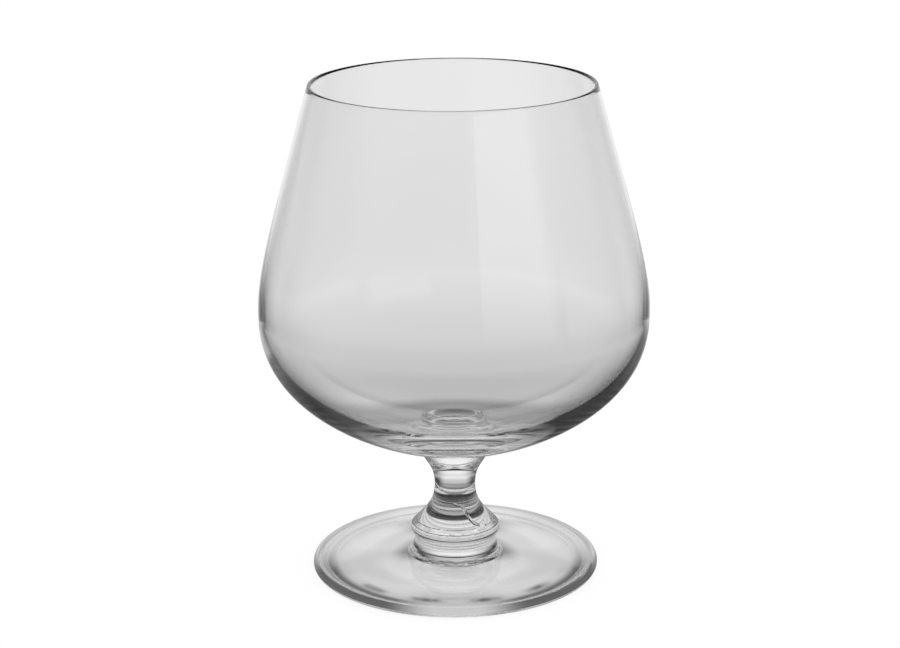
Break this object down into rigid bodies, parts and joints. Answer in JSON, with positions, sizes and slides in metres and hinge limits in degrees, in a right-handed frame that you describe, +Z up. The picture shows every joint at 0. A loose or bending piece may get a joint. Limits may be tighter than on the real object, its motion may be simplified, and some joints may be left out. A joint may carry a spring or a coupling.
{
  "type": "brandy snifter",
  "caption": "Stemmed brandy glass with a wide bowl that closes in to its lip, a short waisted stem, a beaded collar and a round foot.",
  "frame": {"origin": "centre of the foot's resting ring, on the plane that the glass stands on", "axes": "+Z up along the axis of the glass, towards the lip; the glass is turned about it, so +X and +Y are free"},
  "size_m": [0.1092, 0.1092, 0.14],
  "materials": {
    "clear_glass": "clear soda-lime glass with a faint neutral grey body, fire-polished all over, smooth and glossy"
  },
  "bodies": {
    "root": {"foot": "clear_glass", "button": "clear_glass", "collar": "clear_glass", "stem": "clear_glass", "bowl": "clear_glass"}
  },
  "joints": []
}
